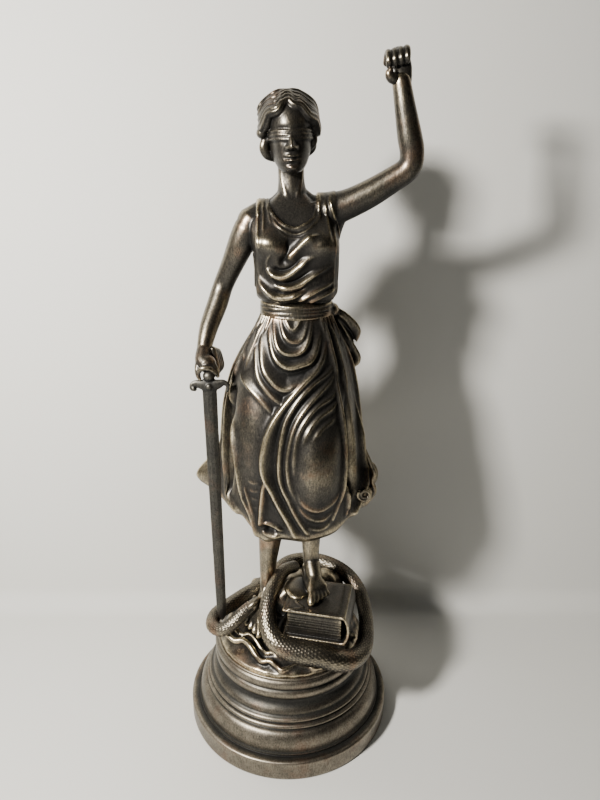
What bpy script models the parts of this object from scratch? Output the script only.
"""Lady Justice: a blindfolded figure on a book and a snake, on a turned round plinth, with her sword.

The figure is one casting. The plinth under it and the sword in its hand are pieces of their own.
Metres, +Z up. The origin is the centre of the plinth's underside, and the figure faces -Y.
"""

import math

import bmesh
import bpy
import numpy as np

# The plinth, from the table up, in metres
BAND_RADIUS = 0.056
BAND_HEIGHT = 0.0108
BAND_EDGE = 0.0008
STEP_HEIGHT = 0.0014
OVOLO_RADIUS = 0.0510
OVOLO_HEIGHT = 0.0104
LOW_BEAD_RADIUS = 0.0464
HIGH_BEAD_RADIUS = 0.0450
BEAD_HEIGHT = 0.0028
BEAD_SWELL = 0.0008
DRUM_RADIUS = 0.0432
DRUM_HEIGHT = 0.0078
ROLL_RADIUS = 0.0418
ROLL_DEPTH = 0.0015
ROLL_HEIGHT = 0.0058
LIP_HEIGHT = 0.0010
PLINTH_SIDES = 48

# The figure, from the plinth's top to the raised knuckles, in metres
FIGURE_HEIGHT = 0.2912
SEAT_GAP = 0.0003
GROUND_INSET = 0.0012

# The sword, in metres
BLADE_WIDTH = 0.0070
BLADE_TIP_WIDTH = 0.0054
BLADE_THICKNESS = 0.0026
POINT_LENGTH = 0.0080
GUARD_DROP = 0.0050
GUARD_SPAN = 0.0182
GUARD_HEIGHT = 0.0056
GUARD_THICKNESS = 0.0034
GUARD_DROOP = 0.0022
BOSS_RADIUS = 0.0016
BOSS_LENGTH = 0.0052
POMMEL_RADIUS = 0.0029
HAND_CLEARANCE = 0.0004
TIP_CLEARANCE = 0.0006

# The mesh of the casting, in metres, and its share of the faces
VOXEL_SIZE = 0.0009
SMOOTH_COUNT = 2
FIGURE_FACES = 6400

# The figure is drawn in millimetres, with its feet at the height of a plinth of DRAWN_BASE
DRAWN_BASE = 48.8
DRAWN_TOP = 340.0
SCALE = FIGURE_HEIGHT / (DRAWN_TOP - DRAWN_BASE)

PLINTH_HEIGHT = (
    BAND_HEIGHT + STEP_HEIGHT + OVOLO_HEIGHT + 2 * BEAD_HEIGHT + DRUM_HEIGHT + 2 * ROLL_HEIGHT + LIP_HEIGHT
)
LIP_RADIUS = ROLL_RADIUS - ROLL_DEPTH
GROUND_RADIUS = (LIP_RADIUS - GROUND_INSET) / SCALE
GROUND_LOW = DRAWN_BASE
POMMEL_CENTRE = (-38.3, -12.6, 200.6)
FINE_PLACES = (
    ((44, -10, 333), 8), ((-38, -11, 203), 8), ((-19, -18, 65), 9), ((14, -22, 86), 9), ((0, -10, 302), 9)
)
SWORD_FOOT = (-36.5, -11.0, 62.0)


# Small helpers


def clear_scene():
    for item in list(bpy.data.objects):
        bpy.data.objects.remove(item)


def placed(points):
    """Drawn millimetres to metres on top of the plinth."""
    metres = np.asarray(points, float) * SCALE
    metres[..., 2] += PLINTH_HEIGHT + SEAT_GAP - DRAWN_BASE * SCALE
    return metres


def blend(low, high, value):
    """0 below low, 1 above high, and a smooth rise between."""
    share = np.clip((value - low) / (high - low), 0.0, 1.0)
    return share * share * (3 - 2 * share)


def turned(angle, start):
    """The angle from start, within half a turn either way."""
    return np.mod(angle - start + math.pi, 2 * math.pi) - math.pi


def near(angle, degrees, spread):
    """1 at the given angle, and falling to 0 on both sides of it."""
    return np.exp(-((np.degrees(turned(angle, math.radians(degrees))) / spread) ** 2))


def curve_through(points, steps=6):
    """A smooth line through the given points, whose rows may hold radii too."""
    knots = np.asarray(points, float)
    padded = np.vstack([2 * knots[0] - knots[1], knots, 2 * knots[-1] - knots[-2]])
    t = np.linspace(0, 1, steps, endpoint=False)[:, None]
    line = []
    for before, here, there, after in zip(padded, padded[1:], padded[2:], padded[3:]):
        bend = 2 * before - 5 * here + 4 * there - after
        twist = 3 * here - before - 3 * there + after
        line.append(0.5 * (2 * here + (there - before) * t + bend * t**2 + twist * t**3))
    return np.vstack([*line, knots[-1:]])


def stations(heights, values):
    """A function that runs smoothly through values at the given heights."""
    heights = np.asarray(heights, float)
    values = np.asarray(values, float)
    slopes = np.gradient(values, heights)

    def at(z):
        z = np.clip(z, heights[0], heights[-1])
        i = np.clip(np.searchsorted(heights, z) - 1, 0, len(heights) - 2)
        step = heights[i + 1] - heights[i]
        t = (z - heights[i]) / step
        return (
            (2 * t**3 - 3 * t**2 + 1) * values[i]
            + (t**3 - 2 * t**2 + t) * step * slopes[i]
            + (3 * t**2 - 2 * t**3) * values[i + 1]
            + (t**3 - t**2) * step * slopes[i + 1]
        )

    return at


# Solids: each is a closed shell of rings, as (points, faces)


def shell(rings):
    """Closed solid from rings of equal length, each joined to the next, with both ends filled."""
    rings = np.asarray(rings, float)
    rows, sides = rings.shape[:2]
    points = np.vstack([rings.reshape(-1, 3), rings[0].mean(0), rings[-1].mean(0)])
    faces = []
    for low in range(0, (rows - 1) * sides, sides):
        for side in range(sides):
            after = (side + 1) % sides
            faces.append((low + side, low + after, low + sides + after, low + sides + side))
    last = (rows - 1) * sides
    for side in range(sides):
        after = (side + 1) % sides
        faces.append((rows * sides, after, side))
        faces.append((rows * sides + 1, last + side, last + after))
    return points, faces


def limb(points, radii, sides=14, flat=None, steps=6):
    """A round limb along a smooth line, with domed ends. flat=(direction, share) thins it that way."""
    line = curve_through(np.column_stack([np.asarray(points, float), radii]), steps)
    centre, radius = line[:, :3], np.abs(line[:, 3])
    tangent = np.gradient(centre, axis=0)
    tangent /= np.linalg.norm(tangent, axis=1)[:, None]
    across = np.cross(tangent[0], (0.0, 0.0, 1.0))
    if np.linalg.norm(across) < 0.2:
        across = np.cross(tangent[0], (0.0, 1.0, 0.0))
    turn = np.linspace(0, 2 * math.pi, sides, endpoint=False)
    rings = []

    def ring(at, radial, along, size):
        other = np.cross(along, radial)
        offset = size * (np.cos(turn)[:, None] * radial + np.sin(turn)[:, None] * other)
        if flat is not None:
            direction = np.asarray(flat[0], float) / np.linalg.norm(flat[0])
            offset -= np.outer(offset @ direction, direction) * (1 - flat[1])
        return at + offset

    frames = []
    for along in tangent:
        across = across - (across @ along) * along
        across /= np.linalg.norm(across)
        frames.append(across.copy())
    for dome in (0.98, 0.8, 0.45):
        size = radius[0] * math.sqrt(1 - dome * dome)
        rings.append(ring(centre[0] - tangent[0] * radius[0] * dome, frames[0], tangent[0], size))
    for at, radial, along, size in zip(centre, frames, tangent, radius):
        rings.append(ring(at, radial, along, size))
    for dome in (0.45, 0.8, 0.98):
        size = radius[-1] * math.sqrt(1 - dome * dome)
        rings.append(ring(centre[-1] + tangent[-1] * radius[-1] * dome, frames[-1], tangent[-1], size))
    return shell(rings)


def ball(centre, radii, sides=18):
    """An ellipsoid with its axes along X, Y and Z."""
    rings = []
    for tilt in np.linspace(-0.48, 0.48, sides // 2 + 1) * math.pi:
        turn = np.linspace(0, 2 * math.pi, sides, endpoint=False)
        flat = math.cos(tilt)
        ring = np.stack([flat * np.cos(turn), flat * np.sin(turn), np.full(sides, math.sin(tilt))], 1)
        rings.append(ring * radii + centre)
    return shell(rings)


def slab(corners, bottom, top):
    """A flat solid over an outline of (x, y) corners."""
    outline = np.asarray(corners, float)
    rings = [np.column_stack([outline, np.full(len(outline), z)]) for z in (bottom, top)]
    return shell(rings)


# Cloth: folds are ridges that run along curves on a draped surface


def ridge(angle, z, reach, line, width, height, opens=0.0):
    """Height of a rounded fold along a line of (angle, z) points. reach is the surface's radius there.

    opens is the share of its full size that the fold keeps at its lower end."""
    nearest = np.full(angle.shape, 1e9)
    along = np.zeros(angle.shape)
    for i, ((a0, z0), (a1, z1)) in enumerate(zip(line, line[1:])):
        dx, dz = (a1 - a0) * reach, z1 - z0
        px, pz = turned(angle, a0) * reach, z - z0
        t = np.clip((px * dx + pz * dz) / (dx * dx + dz * dz + 1e-9), 0, 1)
        far = np.hypot(px - t * dx, pz - t * dz)
        closer = far < nearest
        nearest = np.where(closer, far, nearest)
        along = np.where(closer, (i + t) / (len(line) - 1), along)
    fade = np.sqrt(np.clip(np.sin(math.pi * along), 0, 1))
    fade = np.maximum(fade, opens * (along > 0.5))
    round_top = np.clip(1 - (nearest / (width * (0.45 + 0.55 * fade))) ** 2, 0, 1)
    return height * fade * round_top**0.8


def folded(angle, z, reach, folds):
    """The height of folds, each (line, width, height, opens). Ridges don't add up where they meet."""
    raised = np.zeros(angle.shape)
    sunk = np.zeros(angle.shape)
    for line, width, height, opens in folds:
        one = ridge(angle, z, reach, line, width, height, opens)
        raised = np.maximum(raised, one)
        sunk = np.minimum(sunk, one)
    return raised + sunk


# The skirt

WAIST = 229.0
SKIRT_HEIGHTS = (112, 122, 135, 150, 168, 182, 196, 210, 220, 229, 234)
skirt_middle = stations(SKIRT_HEIGHTS, (2.6, 2.4, 2.0, 1.6, 1.4, 1.2, 1.6, 2.2, 2.6, 2.9, 2.9))
skirt_width = stations(SKIRT_HEIGHTS, (36.0, 36.0, 35.6, 35.0, 33.4, 31.6, 28.6, 24.2, 20.2, 16.2, 15.6))
skirt_front = stations(SKIRT_HEIGHTS, (23.0, 23.5, 24.0, 24.0, 23.0, 21.5, 19.5, 17.0, 14.8, 12.2, 12.0))
skirt_back = stations(SKIRT_HEIGHTS, (27.0, 26.0, 25.0, 24.0, 22.0, 20.5, 19.0, 17.0, 14.5, 12.0, 11.8))


# Folds on the skirt's front: each line of (x, z), its half width and height, and how full its low end stays
SKIRT_FOLDS = (
    # Swags that hang in the middle under the belt
    (((-6.4, 230), (-2.6, 220), (2.0, 217.5), (6.4, 220), (9.8, 230)), 2.0, 1.7, 0),
    (((-9.6, 230), (-5.8, 215), (1.2, 212), (7.4, 216), (11.8, 230)), 2.3, 2.4, 0),
    (((-12, 230), (-8.2, 213), (-2.2, 206.4), (4.8, 207), (16.4, 226)), 2.7, 2.7, 0),
    (((-15.4, 229), (-13, 208.3), (-8.4, 199.8), (-2.6, 196), (9.4, 206.5)), 2.9, 2.7, 0),
    (((-18.6, 227), (-15.4, 203.8), (-10.4, 195), (1.0, 189)), 2.5, 2.0, 0),
    # Long folds from the belt's right side, down across the front and round under the knee
    (((19, 231), (17, 214), (5, 198.5), (-7, 181.6), (-12.6, 162), (-9.6, 147), (2.5, 121)), 3.2, 3.6, 0.8),
    (((24, 213), (11.4, 199), (-1.4, 183), (-5.2, 161), (-0.9, 140.8), (8.5, 122.5)), 2.6, 2.9, 0.7),
    (((25, 206), (12.1, 192.7), (1.4, 177.5), (-1.5, 158.5), (8.0, 132)), 2.4, 2.5, 0),
    (((26, 198), (12.8, 188.2), (3.2, 174.7), (2.4, 147.4)), 2.2, 2.0, 0),
    (((25, 190.6), (13, 183), (4.4, 167)), 1.9, 1.5, 0),
    # Slack rounds of cloth under the knee
    (((1.8, 152), (10.6, 136), (16, 135.6), (25.6, 148)), 2.0, 1.1, 0),
    (((1.6, 146), (11.6, 130), (17.6, 129.6), (24, 135)), 2.0, 1.1, 0),
    # The panel over the right thigh, and the falls to the left of it
    (((-21, 229), (-27.8, 196), (-28.6, 175), (-25, 148), (-17.8, 119)), 2.4, 2.8, 0.8),
    (((-26, 201), (-14.4, 191), (-7.2, 182.2)), 1.7, 1.4, 0),
    (((-34, 142), (-30.6, 131), (-26.6, 121)), 2.5, 2.6, 0.9),
    # A pipe of cloth that opens at the hem
    (((-10.6, 157), (-12.6, 146), (-13.8, 136.2), (-14.8, 126.6)), 2.0, 3.2, 0.9),
    (((-15.4, 127.4), (-9.0, 126.6), (-2.0, 122.6)), 1.6, 1.6, 0),
    # Falls at the far right, on both sides of a deep hollow
    (((21, 212), (25.6, 178), (26.7, 148), (22.2, 128)), 2.0, 2.2, 0.5),
    (((27.6, 194), (31.2, 163.4), (33, 136)), 2.8, -5.0, 0),
    (((34, 196), (37.6, 161.3), (36.7, 136.2), (34.6, 127)), 2.8, 3.4, 0.9),
)

# Folds that fall round the sides, each with its angle, top, bottom, half width, height, sway and low end
SIDE_FALLS = (
    (-56, 231, 200, 1.9, 1.5, -3, 0.0),
    (-66, 196, 133, 3.0, -4.4, 0, 0.0),
    (-80, 226, 134, 2.8, 2.4, 3, 0.3),
    (-96, 231, 120, 3.6, 4.0, -3, 1.0),
    (-112, 226, 128, 3.0, 3.0, 3, 1.0),
    (46, 231, 196, 1.8, 1.6, 3, 0.0),
    (58, 231, 186, 2.0, 1.7, 4, 0.0),
    (97, 231, 128, 3.2, 3.6, 5, 1.0),
)


def fold_on(middle, half_width, points, width, height, opens):
    """A fold given by (x, z) places on a front whose middle and half width are known at each height."""
    line = curve_through(points, 4)
    share = (line[:, 0] - middle(line[:, 1])) / half_width(line[:, 1])
    line[:, 0] = np.arcsin(np.clip(share, -0.99, 0.99))
    return line, width, height, opens


def fall(degrees, top, bottom, width, height, sway, opens):
    """A fold that falls almost straight down at an angle round the skirt."""
    share = np.linspace(0, 1, 8)
    line = np.stack([np.radians(degrees + sway * share**2), top + (bottom - top) * share], 1)
    return line, width, height, opens


def skirt_folds():
    folds = [fold_on(skirt_middle, skirt_width, *fold) for fold in SKIRT_FOLDS]
    folds += [fall(*row) for row in SIDE_FALLS]
    # Falls all round the back, then short gathers under the belt
    for index, degrees in enumerate(range(118, 242, 14)):
        height = 3.0 + 0.9 * math.sin(2.3 * index)
        folds.append(fall(degrees, 229, 112, 3.8, height, 4 * math.sin(1.7 * index), 1.0))
    for index, degrees in enumerate(range(42, 318, 12)):
        folds.append(fall(degrees, 231.5, 219 + 4 * math.sin(2.1 * index), 1.3, 1.0, 0, 0.0))
    return folds


def hem(angle):
    """Height of the skirt's lower edge round the figure."""
    level = 118.0 - 2.4 * near(angle, 9, 14) - 3.0 * near(angle, -25, 8) + 8.5 * near(angle, -58, 16)
    level = level + 11.5 * near(angle, 92, 34) + 21.0 * near(angle, -106, 26) + 4.0 * near(angle, 180, 40)
    return level + 0.5 * np.sin(angle * 7 + 0.6)


def flare(angle, z):
    """How far the wind lifts the cloth outwards at both sides, near the hem."""
    right = blend(158, 136, z) * 5.5 * near(angle, 94, 16) + blend(146, 134, z) * 2.5 * near(angle, 80, 6)
    left = blend(164, 140, z) ** 1.4 * 13.5 * near(angle, -101, 13)
    inwards = 2.5 * near(angle, -60, 22) + 2.5 * near(angle, 56, 20)
    return right + left - blend(140, 120, z) * inwards


def thighs(angle, z):
    """The left knee and thigh press forward under the cloth, the right thigh less so."""
    x = skirt_width(z) * np.sin(angle)
    knee = 7.0 * np.exp(-np.abs((x - 11.5) / 10.5) ** 2.4 - np.abs((z - 159) / 22) ** 2.4)
    thigh = 2.6 * np.exp(-(((x + 18) / 9) ** 2) - (((z - 176) / 24) ** 2))
    return (np.cos(angle) > 0) * (knee + thigh)


def skirt_point(angle, z, folds, inset=0.0):
    width = skirt_width(z)
    depth = np.where(np.cos(angle) > 0, skirt_front(z), skirt_back(z))
    out = folded(angle, z, width, folds) if folds else 0.0
    out = out + flare(angle, z) + thighs(angle, z) - inset
    x = skirt_middle(z) + (width + out) * np.sin(angle)
    y = 1.0 - (depth + out) * np.cos(angle)
    return np.stack([x, y, z], -1)


def skirt(rows=60, sides=150):
    """The whole skirt, with a hollow under the hem that the legs stand in."""
    folds = skirt_folds()
    angle = np.linspace(0, 2 * math.pi, sides, endpoint=False)
    low = hem(angle)
    rings = []
    for share in (0.5, 0.0):
        z = low + 10 - share * 4
        rings.append(skirt_point(angle, z, None, 9.0 - share * 3))
    for step, inset in ((4.0, 3.2), (1.0, 2.2), (0.2, 1.0)):
        rings.append(skirt_point(angle, low + step, folds, inset))
    for share in np.linspace(0, 1, rows):
        rings.append(skirt_point(angle, low + (WAIST + 3 - low) * share, folds))
    return shell(rings)


# The bodice, belt and sash

BODICE_HEIGHTS = (228, 233, 238, 244, 250, 257, 264, 270, 275, 279, 283)
bodice_middle = stations(BODICE_HEIGHTS, (2.9, 2.9, 3.0, 3.0, 3.0, 2.6, 1.8, 1.2, 0.8, 0.4, 0.2))
bodice_width = stations(BODICE_HEIGHTS, (15.4, 15.4, 19.0, 19.4, 19.6, 19.6, 19.8, 19.6, 16.2, 10.0, 5.6))
bodice_front = stations(BODICE_HEIGHTS, (11.2, 11.2, 14.0, 13.8, 13.8, 14.0, 13.0, 10.6, 8.0, 5.6, 3.0))
bodice_back = stations(BODICE_HEIGHTS, (10.8, 10.8, 12.4, 12.6, 13.0, 13.6, 13.8, 13.0, 11.0, 8.8, 7.0))


# Folds on the bodice's front, given as the skirt's are
BODICE_FOLDS = (
    # Swags from the breasts down across the waist
    (((13, 265.6), (8.2, 263.2), (0.2, 256), (-1.8, 253.4)), 2.2, 2.0, 0),
    (((13, 257), (4.3, 251.5), (-3.3, 246.7), (-9.4, 249), (-12, 253)), 2.0, 2.1, 0),
    (((20, 252.6), (8.5, 246.1), (0.2, 241.9), (-8.4, 243.4)), 1.8, 1.8, 0),
    (((8, 241.6), (-4, 237.4), (-10.9, 240.5), (-14.6, 249)), 1.8, 2.0, 0),
    (((20, 244.6), (10.8, 240), (3, 235.4)), 1.6, 1.5, 0),
    # Rolled edges of the low round neck
    (((-9.2, 276.4), (-7.8, 273.2), (2.1, 267.6), (10.2, 273), (11.4, 277)), 1.0, 1.2, 0),
    (((-8.8, 276), (-3.3, 266.8), (2.2, 265.1), (11.4, 271), (13.2, 277)), 0.9, 0.8, 0),
    # Pleats of the two straps
    (((-15, 280), (-14.4, 270.9), (-13.6, 257)), 1.0, 1.0, 0),
    (((-12.6, 280), (-12, 273), (-12.1, 265)), 0.9, 0.8, 0),
    (((14.6, 282), (15.6, 275.8), (17.6, 262.5)), 1.0, 0.9, 0),
    (((16.6, 282), (20.4, 269.2), (23.3, 254.8)), 1.1, 1.1, 0),
)


def bodice_folds():
    folds = [fold_on(bodice_middle, bodice_width, *fold) for fold in BODICE_FOLDS]
    # Folds round the back
    for degrees, z in ((200, 262), (170, 256), (150, 250), (215, 250), (180, 243)):
        share = np.linspace(0, 1, 8)
        line = np.stack([np.radians(degrees + 60 * (share - 0.5)), z - 8 * np.sin(math.pi * share)], 1)
        folds.append((line, 1.8, 1.3, 0.0))
    return folds


def bodice(rows=40, sides=110):
    folds = bodice_folds()
    angle = np.linspace(0, 2 * math.pi, sides, endpoint=False)
    rings = []
    for z in np.linspace(228, 283, rows):
        z = np.full(sides, z)
        width = bodice_width(z)
        depth = np.where(np.cos(angle) > 0, bodice_front(z), bodice_back(z))
        x = width * np.sin(angle)
        front = np.cos(angle) > 0
        breasts = 4.8 * np.exp(-(((x + 9.4) / 6.2) ** 2) - (((z - 261.5) / 6.4) ** 2))
        breasts = breasts + 5.4 * np.exp(-(((x - 9.6) / 6.6) ** 2) - (((z - 261.5) / 6.6) ** 2))
        out = folded(angle, z, width, folds) + front * breasts
        squarish = 1 + 0.10 * np.sin(2 * angle) ** 2
        across = bodice_middle(z) + (width + out) * np.sin(angle) * squarish
        rings.append(np.stack([across, 1.5 - (depth + out) * np.cos(angle) * squarish, z], -1))
    return shell(rings)


def belt(sides=90):
    """Three flat windings of cloth round the waist."""
    turn = np.linspace(0, 2 * math.pi, sides, endpoint=False)
    rings = []
    for z, out in (
        (229.4, 0.2), (230.0, 1.5), (231.2, 1.9), (231.9, 1.2), (232.6, 2.0), (233.6, 2.0),
        (234.2, 1.2), (234.9, 1.9), (235.8, 1.6), (236.2, 0.2),
    ):
        dip = 0.8 * np.cos(turn)
        x = 2.9 + (16.0 + out) * np.sin(turn)
        y = 1.2 - (12.0 + out) * np.cos(turn)
        rings.append(np.stack([x, y, z - dip], -1))
    return shell(rings)


def sash_knot():
    """The sash's bunched ends at the left hip."""
    flat = ((0.3, 1.0, 0.2), 0.55)
    return [
        limb(((19, 6, 229), (26, 9, 222), (31, 10, 213)), (2.0, 4.2, 3.0), flat=flat),
        limb(((21, 8, 226), (27, 11, 216), (31.5, 10, 204)), (2.4, 4.6, 2.6), flat=flat),
        limb(((19, 9, 224), (25, 12, 212), (28.5, 11, 196)), (2.4, 4.2, 2.2), flat=flat),
    ]


# Neck, arms and hands


def neck_and_shoulders():
    return [
        limb(((1, 5, 268), (0.6, 4.4, 280), (0.2, 3.6, 288), (-0.2, 2.6, 299)), (9.2, 7.4, 6.0, 6.2)),
        limb(((-4.4, 0.8, 296), (-3.3, 0, 287), (-1, -2.3, 279), (0.5, -3.7, 275.2)), (1.6, 1.6, 1.3, 0.7)),
        limb(((4.4, 0.8, 296), (3.7, 0, 287), (2.4, -2.3, 279), (1.5, -3.7, 275.2)), (1.6, 1.6, 1.3, 0.7)),
        limb(((0, 6, 283), (-7, 5, 276.8), (-13, 4, 274.2), (-17.8, 3, 270)), (4.8, 4.5, 5.4, 7.1)),
        limb(((0.4, 6, 284), (9, 5, 278), (15, 3.6, 277.4), (22, 1.5, 277)), (4.8, 4.4, 5.4, 6.8)),
        limb(((20, 3.0, 276), (17.5, 3.0, 266), (16.0, 3.0, 252)), (7.0, 6.0, 5.0)),
    ]


def arms():
    """The right arm hangs to the sword, and the left arm is raised, bent at the elbow."""
    right = (
        (-19.6, 2.5, 267), (-27.6, 6.0, 250.5), (-32.4, 8.6, 240.5), (-35.4, 6.0, 231.5), (-39.2, 0.6, 221),
        (-41.2, -5.0, 211.5), (-41.6, -8.0, 207)
    )
    left = (
        (20, 1.5, 276), (35.5, -2.0, 282.8), (44.5, -4, 288.3), (51.4, -6.0, 293.4), (52.2, -7.0, 299.5),
        (50.6, -7.6, 306), (45.6, -9.0, 326.5)
    )
    return [
        limb(right, (6.7, 5.4, 4.9, 5.0, 4.5, 3.5, 3.2), sides=18),
        limb(left, (7.4, 6.2, 5.6, 5.3, 5.3, 5.3, 3.9), sides=18),
    ]


def fingers(rows, size):
    return [limb(row, size * np.linspace(1.0, 0.8, len(row)), sides=10) for row in rows]


def hand_on_sword():
    """The right hand lies over the pommel, its cupped edge in front and its fingers curled down behind."""
    edge = (
        (-43.0, -13.4, 202.0), (-41.6, -14.4, 204.2), (-39.6, -14.8, 204.9), (-37.2, -14.4, 204.3),
        (-34.8, -13.2, 201.8)
    )
    thumb = ((-42.8, -8.8, 207.4), (-43.5, -11.4, 203.6), (-43.2, -13.0, 200.8), (-42.4, -13.6, 199.2))
    pieces = [
        limb(((-41.3, -5.6, 211.5), (-41.2, -8.4, 207.6), (-39.4, -9.8, 205.8)), (3.4, 4.0, 4.5)),
        limb(thumb, (2.0, 1.6, 1.2, 0.8)),
        limb(((-37.4, -10.8, 206.0), (-35.2, -12.0, 203.2), (-34.2, -12.2, 200.6)), (2.2, 1.7, 1.1)),
        limb(edge, (0.9, 1.2, 1.2, 1.2, 0.9), sides=10),
    ]
    rows = []
    for index in range(4):
        x, y = -36.0 + 0.5 * index, -5.0 + 2.1 * index
        rows.append((
            (x - 1.0, y, 211.5 - 0.8 * index), (x, y - 0.4, 206.6), (x + 0.8, y - 1.0, 202.2),
            (x - 1.0, y - 2.2, 199.4)
        ))
    return pieces + fingers(rows, 1.7)


def raised_fist():
    """The left hand is closed round an empty grip, palm to the front, with a gap above the thumb."""
    palm = ((46.0, -8.8, 324.5), (46.1, -8.4, 329), (46.2, -8.0, 332), (44.4, -7.4, 335.4))
    thumb = ((43.8, -10.0, 326.8), (41.2, -11.0, 327.6), (40.1, -11.8, 329.0), (40.4, -12.4, 330.1))
    pieces = [limb(palm, (3.8, 3.9, 3.6, 4.6), flat=((0, 1, 0), 0.72)), limb(thumb, (2.1, 2.2, 1.9, 1.2))]
    rows = []
    for index, x in enumerate((39.5, 42.0, 44.5, 47.0)):
        top = 337.1 + 0.58 * index
        rows.append((
            (x, -5.4, top - 3.0), (x, -8.0, top - 0.1), (x, -11.0, top - 0.9), (x, -12.6, top - 3.4),
            (x + 0.2, -11.6, top - 5.2)
        ))
    return pieces + fingers(rows, 1.5)


# The head


def head():
    """Skull, face and blindfold."""
    pieces = [
        ball((-1.0, 1.5, 311.2), (10.6, 13.0, 12.4), 24),
        ball((-0.1, -3.0, 302.2), (8.3, 9.6, 10.6), 24),
        ball((0.7, -7.4, 294.6), (4.4, 4.4, 3.9)),
        limb(((-0.4, -12.0, 306), (-0.1, -13.9, 301.6), (0.1, -12.2, 300.2)), (0.9, 1.4, 1.3)),
        limb(((-2.2, -11.4, 297.6), (0.3, -12.4, 297.8), (2.7, -11.4, 297.8)), (0.8, 1.2, 0.8)),
    ]
    turn = np.linspace(0, 2 * math.pi, 40, endpoint=False)
    rings = []
    for z, out in ((302.8, -0.6), (303.3, 0.8), (305.3, 0.6), (307.3, 0.8), (307.9, -0.6)):
        x = -0.5 + (9.3 + out) * np.sin(turn)
        rings.append(np.stack([x, 0.4 - (12.4 + out) * np.cos(turn), z + 0.4 * np.sin(turn)], -1))
    pieces.append(shell(rings))
    return pieces


def hair():
    """Waved locks that run from the parting round the temples to the knot behind."""
    pieces = [ball((-1.4, 4.0, 312.6), (11.6, 12.6, 11.4), 24), ball((-1.0, 16.5, 308.0), (6.4, 5.2, 6.4))]
    for side, reach in ((-1, 13.0), (1, 10.4)):
        for index in range(6):
            rise = index / 5
            start = np.array((-1.2 + side * 0.8, -10.0 + 6.0 * rise, 319.6 + 3.6 * math.sin(1.4 * rise)))
            temple = np.array((side * (reach - 2.0 - 2.4 * rise), -6.4 + 7.0 * rise, 312.4 + 7.4 * rise))
            ear = np.array((side * (reach - 1.2 * rise), 1.5 + 4.0 * rise, 308.6 + 5.0 * rise))
            knot = np.array((side * 4.0, 14.0, 305.0 + 5.0 * rise))
            pieces.append(limb((start, temple, ear, knot), (1.4, 2.3, 2.4, 1.6), sides=10))
        pieces.append(ball((side * (reach - 0.4), 0.0, 307.6), (2.8, 3.6, 3.0), 12))
        pieces.append(ball((side * (reach - 2.2), 2.0, 300.8), (3.0, 3.4, 3.4), 12))
    return pieces


# Legs and feet


def foot(heel, ankle, instep, toe_tips, shin, widths, size):
    """A bare foot: the shin, the wedge from heel to toes, and five toes from the big to the little one."""
    heel, ankle, instep = (np.asarray(p, float) for p in (heel, ankle, instep))
    big, little = (np.asarray(p, float) for p in toe_tips)
    pieces = [limb((*shin, tuple(ankle)), widths, sides=16), limb((heel + (0, 0, 2.5), heel), (3.6, 3.4))]
    for index in range(5):
        share = index / 4
        tip = big + (little - big) * (share + 0.06 * math.sin(math.pi * share))
        girth = size * (0.95 - 0.3 * share)
        root = instep + (tip - instep) * 0.56 + (0, 0, 0.3)
        knuckle = instep + (tip - instep) * 0.78 + (0, 0, 0.7 * girth)
        middle = 0.5 * (heel + root) + (0, 0, -0.4)
        pieces.append(limb((ankle, instep, root), (size * 2.0, size * 1.85, size * 1.4)))
        pieces.append(limb((heel + (0, 0, 0.6), middle, root), (size * 1.8, size * 1.65, size * 1.25)))
        pieces.append(limb((root, knuckle, tip + (0, 0, 0.2)), (size * 0.9, girth, girth * 0.8), sides=10))
    return pieces


def legs():
    right = foot(
        (-9.0, 3.0, 66.0), (-12.0, -1.5, 77.0), (-15.4, -10.0, 69.0),
        ((-15.8, -24.4, 62.6), (-24.8, -12.6, 62.2)), ((-8.5, 0.0, 140), (-9.8, 1.8, 114), (-11.6, 0.2, 92)),
        (9.0, 7.2, 4.8, 3.9), 1.85
    )
    left = foot(
        (10.6, -0.6, 86.2), (11.6, -4.6, 96.0), (13.4, -12.4, 89.8),
        ((11.2, -26.6, 84.3), (20, -18.6, 84.1)), ((12, -4, 144), (11.2, -3, 120), (11.4, -4.2, 105)),
        (9.0, 6.4, 4.8, 4.3), 2.15
    )
    return right + left


# What she stands on


def ground(rows=16, sides=72):
    """A mound on the plinth's top: a slope in front, and steep at the left and behind."""
    turn = np.linspace(0, 2 * math.pi, sides, endpoint=False)
    power = 2.6 + 3.4 * np.maximum(near(turn, -115, 36), near(turn, 180, 60))
    rise = 12.4 - 4.6 * near(turn, -40, 26) + 7.0 * near(turn, 180, 70)
    low = np.full(sides, GROUND_LOW)
    edge = GROUND_RADIUS * np.stack([np.sin(turn), -np.cos(turn)])
    rings = [np.stack([*edge, low - drop], -1) for drop in (2, 0)]
    for share in np.linspace(1.0, 0.06, rows):
        z = low + 1.4 + rise * (1 - share**power) + 1.5 * (1 - share)
        rings.append(np.stack([*(edge * share), z], -1))
    return shell(rings)


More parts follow.
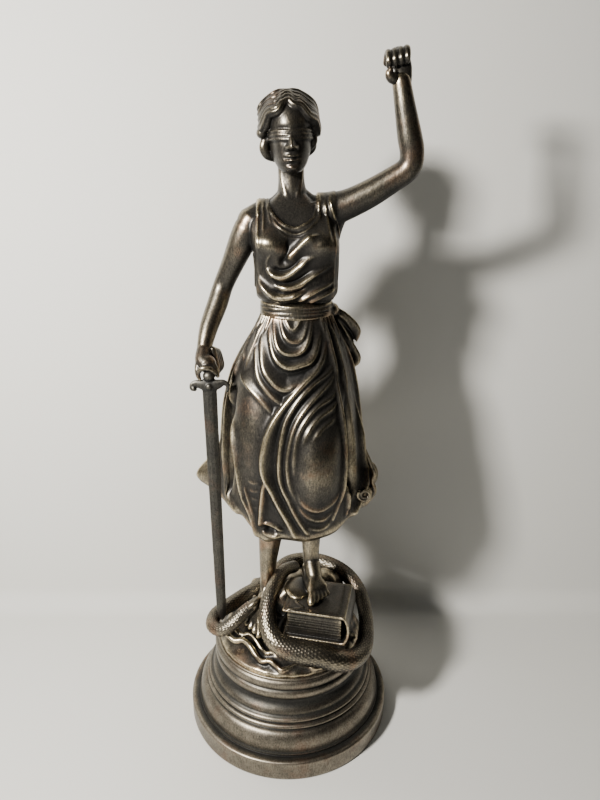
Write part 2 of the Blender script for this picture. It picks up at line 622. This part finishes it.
def cloth_waves():
    """Rocks behind the book, a flap of cloth under the left foot, and the cloth's edge along the mound."""
    line = (
        (-37, -10, 56), (-34, -16, 57.2), (-29.4, -20.5, 55.6), (-24.5, -21.6, 57.4), (-20.5, -25.6, 56.2),
        (-17.2, -29.2, 53.4), (-13.6, -32.8, 53.2), (-9.7, -33.6, 54), (-6, -35.6, 52.4),
        (-3.6, -36.8, 51.4), (0.8, -35.6, 52.4), (4.6, -34.4, 52.6), (9.0, -35.0, 51.6)
    )
    sizes = (1.3, 1.4, 1.5, 1.5, 1.6, 1.5, 1.5, 1.6, 1.6, 1.5, 1.5, 1.4, 1.2)
    lumps = [ball((6, 12, 60), (26, 17, 17)), ball((20, 11, 66), (12, 10, 12.5))]
    lumps.append(ball((4.6, -11, 82.4), (7.4, 10, 2.2)))
    lumps += [ball(spot, (8, 7.2, 5.6)) for spot in ((-16, 24, 58), (2, 32, 57), (22, 25, 58))]
    return [*lumps, limb(line, sizes, sides=10, steps=4)]


BOOK_CENTRE = (14.6, -17.6)
BOOK_WIDTH = 31.0
BOOK_DEPTH = 29.0
BOOK_TURN = math.radians(-12.5)
BOOK_BOTTOM = 64.6
BOOK_TOP = 81.8
COVER = 1.7
PAGE_INSET = 1.8


def book():
    """A closed book, its spine to the right: two covers, a page block set back, and a rounded spine."""
    cos, sin = math.cos(BOOK_TURN), math.sin(BOOK_TURN)

    def turned_spot(x, y):
        return BOOK_CENTRE[0] + x * cos - y * sin, BOOK_CENTRE[1] + x * sin + y * cos

    def board(x0, x1, y0, y1, bottom, top):
        corners = ((x0, y0), (x1, y0), (x1, y1), (x0, y1))
        return slab([turned_spot(x, y) for x, y in corners], bottom, top)

    half, deep, inset = BOOK_WIDTH / 2, BOOK_DEPTH / 2, PAGE_INSET
    pieces = [
        board(-half, half, -deep, deep, BOOK_TOP - COVER, BOOK_TOP),
        board(-half, half, -deep, deep, BOOK_BOTTOM, BOOK_BOTTOM + COVER),
        board(inset - half, half - 1, inset - deep, deep - inset, BOOK_BOTTOM, BOOK_TOP - 0.6),
    ]
    middle = 0.5 * (BOOK_BOTTOM + BOOK_TOP)
    tall = 0.5 * (BOOK_TOP - BOOK_BOTTOM)
    rings = []
    for y in (-deep, deep):
        ring = []
        for step in range(16):
            turn = 2 * math.pi * step / 16
            x = half - 1.0 + 3.6 * math.cos(turn)
            ring.append((*turned_spot(x, y), middle + tall * math.sin(turn)))
        rings.append(ring)
    pieces.append(shell(rings))
    return pieces


# Places along the snake, each with its radius
SNAKE_BODY = (
    (3, 8, 83, 3.0), (-3.0, -1.5, 86.4, 3.2), (-8.9, -12.5, 82.4, 3.7), (-11.3, -20.0, 76.8, 4.0),
    (-10.6, -27.0, 70.4, 4.4), (-6.2, -33.0, 65.6, 4.9), (3.6, -35.8, 62.4, 5.5), (15.0, -36.4, 60.8, 5.8),
    (24.4, -36.0, 57.0, 5.6), (32.4, -32.8, 54.6, 5.0), (39.2, -25.4, 54.8, 4.3), (42.0, -15.0, 58.6, 3.8),
    (42.0, -4.0, 64.0, 3.7), (39.6, 5.0, 68.8, 3.9), (33.6, 13.0, 73.8, 4.1), (24.0, 19.4, 76.6, 4.2),
    (12.3, 24.0, 76.8, 4.2), (0.0, 24.0, 75.0, 4.2), (-9, 16.0, 72.0, 4.2), (-16.5, 8.0, 69.6, 4.2),
    (-25.5, 3.0, 67.0, 4.1), (-34.6, -3.0, 64.4, 3.8), (-40.6, -7.6, 62.4, 3.5), (-41.2, -14.0, 61.0, 3.4),
    (-36.0, -18.8, 61.8, 3.3), (-29.6, -18.4, 65.8, 3.2), (-24.4, -15.4, 70.2, 3.0), (-20.4, -13.4, 73, 2.7)
)
SNAKE_HEAD = (
    (-22.6, -14.4, 71.4, 2.8), (-20, -13.2, 73.6, 3.5), (-17.6, -12.2, 75, 3.1), (-15.6, -11.6, 75.4, 1.9)
)


def snake():
    """It comes out between the legs, passes before the book, and winds behind to the sword's point."""
    body, head_line = np.array(SNAKE_BODY), np.array(SNAKE_HEAD)
    return [
        limb(body[:, :3], body[:, 3], sides=16, steps=4),
        limb(head_line[:, :3], head_line[:, 3], flat=((-0.5, 0.3, 0.8), 0.66)),
    ]


# Objects


def material(name, colour, roughness, metallic):
    made = bpy.data.materials.new(name)
    made.use_nodes = True
    shader = made.node_tree.nodes["Principled BSDF"]
    shader.inputs["Base Color"].default_value = (*colour, 1.0)
    shader.inputs["Roughness"].default_value = roughness
    shader.inputs["Metallic"].default_value = metallic
    return made


def add_object(name, mesh, surface):
    made = bpy.data.objects.new(name, mesh)
    bpy.context.scene.collection.objects.link(made)
    if surface is not None:
        mesh.materials.append(surface)
    return made


def mesh_of(name, solids):
    """One mesh of several closed shells, each with its faces turned outwards."""
    mesh = bpy.data.meshes.new(name)
    points, faces, count = [], [], 0
    for spots, loops in solids:
        points.extend(map(tuple, spots))
        faces.extend(tuple(count + i for i in loop) for loop in loops)
        count += len(spots)
    mesh.from_pydata(points, [], faces)
    shape = bmesh.new()
    shape.from_mesh(mesh)
    bmesh.ops.recalc_face_normals(shape, faces=shape.faces)
    shape.to_mesh(mesh)
    shape.free()
    return mesh


def figure(surface):
    """The casting: every form melts into one skin, which is then thinned to the faces it needs."""
    solids = [skirt(), bodice(), belt(), ground()]
    for group in (
        sash_knot, neck_and_shoulders, arms, hand_on_sword, raised_fist, head, hair, legs, cloth_waves, book,
        snake
    ):
        solids.extend(group())
    made = add_object("figure", mesh_of("figure", [(placed(p), f) for p, f in solids]), surface)
    skin = made.modifiers.new("one skin", "REMESH")
    skin.mode = "VOXEL"
    skin.voxel_size = VOXEL_SIZE
    soften = made.modifiers.new("cast softness", "SMOOTH")
    soften.factor = 0.5
    soften.iterations = SMOOTH_COUNT
    bake(made)
    keep = made.vertex_groups.new(name="fine places")
    spots = np.array([vertex.co for vertex in made.data.vertices])
    for centre, reach in FINE_PLACES:
        close = np.linalg.norm(spots - placed(centre), axis=1) < reach * SCALE
        keep.add(np.flatnonzero(close).tolist(), 0.3, "REPLACE")
    thin = made.modifiers.new("fewer faces", "DECIMATE")
    thin.vertex_group = keep.name
    thin.vertex_group_factor = 0.2
    thin.invert_vertex_group = True
    thin.ratio = FIGURE_FACES / sum(len(face.vertices) - 2 for face in made.data.polygons)
    bake(made)
    return made


def bake(made):
    """Turns an object's modifiers into its mesh."""
    graph = bpy.context.evaluated_depsgraph_get()
    done = bpy.data.meshes.new_from_object(made.evaluated_get(graph))
    made.modifiers.clear()
    made.data = done
    done.name = made.name


def join_or_cut(made, tool, operation):
    """Adds a tool's form to an object, or takes it away."""
    step = made.modifiers.new(tool.name, "BOOLEAN")
    step.object = tool
    step.operation = operation
    step.solver = "EXACT"
    tool.hide_render = True
    tool.display_type = "WIRE"


def round_tool(name, centre, radius):
    shape = bmesh.new()
    bmesh.ops.create_uvsphere(shape, u_segments=14, v_segments=8, radius=radius)
    bmesh.ops.translate(shape, verts=shape.verts, vec=centre)
    mesh = bpy.data.meshes.new(name)
    shape.to_mesh(mesh)
    shape.free()
    return add_object(name, mesh, None)


def blade_rings(grow):
    """Sections of the blade from the guard down to its point, each grown by a margin."""
    top, foot = placed(POMMEL_CENTRE), placed(SWORD_FOOT)
    along = foot - top
    length = np.linalg.norm(along)
    along /= length
    side = np.array((1.0, 0.0, 0.0)) - along[0] * along
    side /= np.linalg.norm(side)
    face = np.cross(along, side)
    rings = []
    for far, share in (
        (POMMEL_RADIUS * 0.6, 0.0), (length - POINT_LENGTH, 1.0), (length - 0.35 * POINT_LENGTH, 1.25),
        (length, 1.5)
    ):
        wide = 0.5 * (BLADE_WIDTH + (BLADE_TIP_WIDTH - BLADE_WIDTH) * min(share, 1.0))
        thick = 0.5 * BLADE_THICKNESS
        if share > 1.0:
            wide *= 2 * (1.62 - share)
            thick *= 2 * (1.62 - share) ** 0.6
            thick = min(thick, 0.5 * BLADE_THICKNESS)
        corners = ((-1, 0), (-0.35, -1), (0.35, -1), (1, 0), (0.35, 1), (-0.35, 1))
        spot = top + along * far
        rings.append([spot + side * (wide + grow) * a + face * (thick + grow) * b for a, b in corners])
    return rings, top, along, side


def sword(surface):
    """A straight sword: blade, guard with turned-down ends, and a ball for a pommel."""
    rings, top, along, side = blade_rings(0.0)
    made = add_object("sword", mesh_of("sword", [shell(rings)]), surface)
    middle = top + along * GUARD_DROP
    line, radii = [], []
    for share in (-1.0, -0.8, -0.45, 0.0, 0.45, 0.8, 1.0):
        droop = GUARD_DROOP * abs(share) ** 3
        line.append(middle + side * 0.44 * GUARD_SPAN * share + along * droop)
        radii.append(0.5 * GUARD_HEIGHT * (1.0 - 0.62 * abs(share) ** 0.7))
    face = np.cross(along, side)
    plate = limb(line, radii, sides=8, flat=(face, GUARD_THICKNESS / GUARD_HEIGHT), steps=1)
    ends = (middle - face * 0.5 * BOSS_LENGTH, middle + face * 0.5 * BOSS_LENGTH)
    boss = limb(ends, (BOSS_RADIUS, BOSS_RADIUS), sides=8, steps=1)
    for name, form in (("sword guard", plate), ("sword boss", boss)):
        join_or_cut(made, add_object(name, mesh_of(name, [form]), None), "UNION")
    join_or_cut(made, round_tool("sword pommel", top, POMMEL_RADIUS), "UNION")
    return made


def seats(cast):
    """The casting's flat underside, the hand's hollow round the pommel, and the slot round the point."""
    floor = PLINTH_HEIGHT + SEAT_GAP
    wide = 2 * BAND_RADIUS
    under = slab(((-wide, -wide), (wide, -wide), (wide, wide), (-wide, wide)), 0.0, floor)
    join_or_cut(cast, add_object("underside cut", mesh_of("underside cut", [under]), None), "DIFFERENCE")
    palm = round_tool("palm cut", placed(POMMEL_CENTRE), POMMEL_RADIUS + HAND_CLEARANCE)
    join_or_cut(cast, palm, "DIFFERENCE")
    slot = mesh_of("point cut", [shell(blade_rings(TIP_CLEARANCE)[0])])
    join_or_cut(cast, add_object("point cut", slot, None), "DIFFERENCE")


def turned_profile():
    """The plinth's outline as (radius, height) from the foot of its band up to its lip."""
    line = [(BAND_RADIUS - BAND_EDGE, 0.0), (BAND_RADIUS, BAND_EDGE), (BAND_RADIUS, BAND_HEIGHT - BAND_EDGE)]
    line.append((BAND_RADIUS - BAND_EDGE, BAND_HEIGHT))
    z = BAND_HEIGHT + STEP_HEIGHT
    line.append((OVOLO_RADIUS, z))
    for share in (0.25, 0.5, 0.75, 1.0):
        turn = 0.5 * math.pi * share
        swell = (OVOLO_RADIUS - LOW_BEAD_RADIUS) * math.cos(turn)
        line.append((LOW_BEAD_RADIUS + swell, z + OVOLO_HEIGHT * math.sin(turn)))
    z += OVOLO_HEIGHT
    for radius in (LOW_BEAD_RADIUS, HIGH_BEAD_RADIUS):
        for share in (0.3, 0.7):
            line.append((radius + BEAD_SWELL, z + BEAD_HEIGHT * share))
        z += BEAD_HEIGHT
        line.append((radius - BEAD_SWELL, z))
    for share in (0.12, 0.5, 0.9):
        waist = DRUM_RADIUS + (LIP_RADIUS - DRUM_RADIUS) * (0.5 - 0.5 * math.cos(math.pi * share))
        line.append((waist, z + DRUM_HEIGHT * share))
    z += DRUM_HEIGHT
    for _ in range(2):
        for share in (0.2, 0.5, 0.8, 1.0):
            swell = ROLL_DEPTH * math.sin(math.pi * share) ** 0.7
            line.append((LIP_RADIUS + swell, z + ROLL_HEIGHT * share))
        z += ROLL_HEIGHT
    line.append((LIP_RADIUS, z + LIP_HEIGHT))
    return line


def plinth(surface):
    """A round turned plinth: the profile is spun about the upright axis."""
    shape = bmesh.new()
    line = [(0.0, 0.0), *turned_profile(), (0.0, PLINTH_HEIGHT)]
    dots = [shape.verts.new((radius, 0.0, z)) for radius, z in line]
    edges = [shape.edges.new(pair) for pair in zip(dots, dots[1:])]
    bmesh.ops.spin(
        shape, geom=dots + edges, cent=(0, 0, 0), axis=(0, 0, 1), angle=2 * math.pi, steps=PLINTH_SIDES,
        use_duplicate=False
    )
    bmesh.ops.remove_doubles(shape, verts=shape.verts, dist=0.00002)
    bmesh.ops.recalc_face_normals(shape, faces=shape.faces)
    mesh = bpy.data.meshes.new("plinth")
    shape.to_mesh(mesh)
    shape.free()
    return add_object("plinth", mesh, surface)


def main():
    clear_scene()
    bronze = material("aged bronze finish", (0.13, 0.10, 0.075), 0.42, 0.75)
    base = material("aged bronze finish of the plinth", (0.12, 0.09, 0.07), 0.42, 0.75)
    steel = material("grey bronze finish", (0.12, 0.115, 0.11), 0.45, 0.8)
    cast = figure(bronze)
    seats(cast)
    sword(steel)
    plinth(base)


main()
